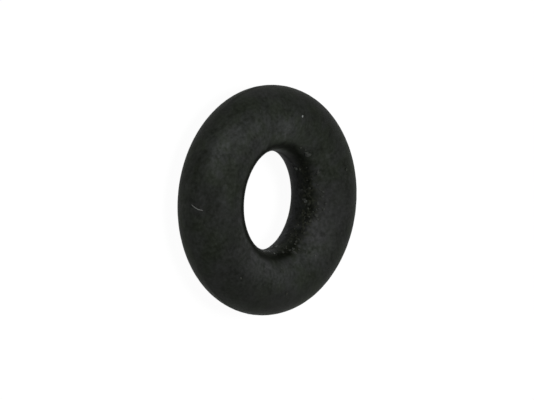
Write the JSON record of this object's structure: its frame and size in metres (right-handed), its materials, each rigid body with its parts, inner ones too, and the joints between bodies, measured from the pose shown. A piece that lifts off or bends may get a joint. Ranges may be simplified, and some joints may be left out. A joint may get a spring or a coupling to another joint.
{
  "type": "sealing ring",
  "caption": "Moulded rubber O-ring with a thick round section; it seals on a shaft, in a housing bore or between flat faces.",
  "frame": {"origin": "centre of the hole, at mid-height of the section", "axes": "+Z along the ring's axis, so the ring lies flat; X and Y are alike"},
  "size_m": [0.007, 0.007, 0.002],
  "materials": {
    "rubber": "matte black, fine moulded grain"
  },
  "bodies": {
    "root": {"sealing_ring": "rubber"}
  },
  "joints": []
}
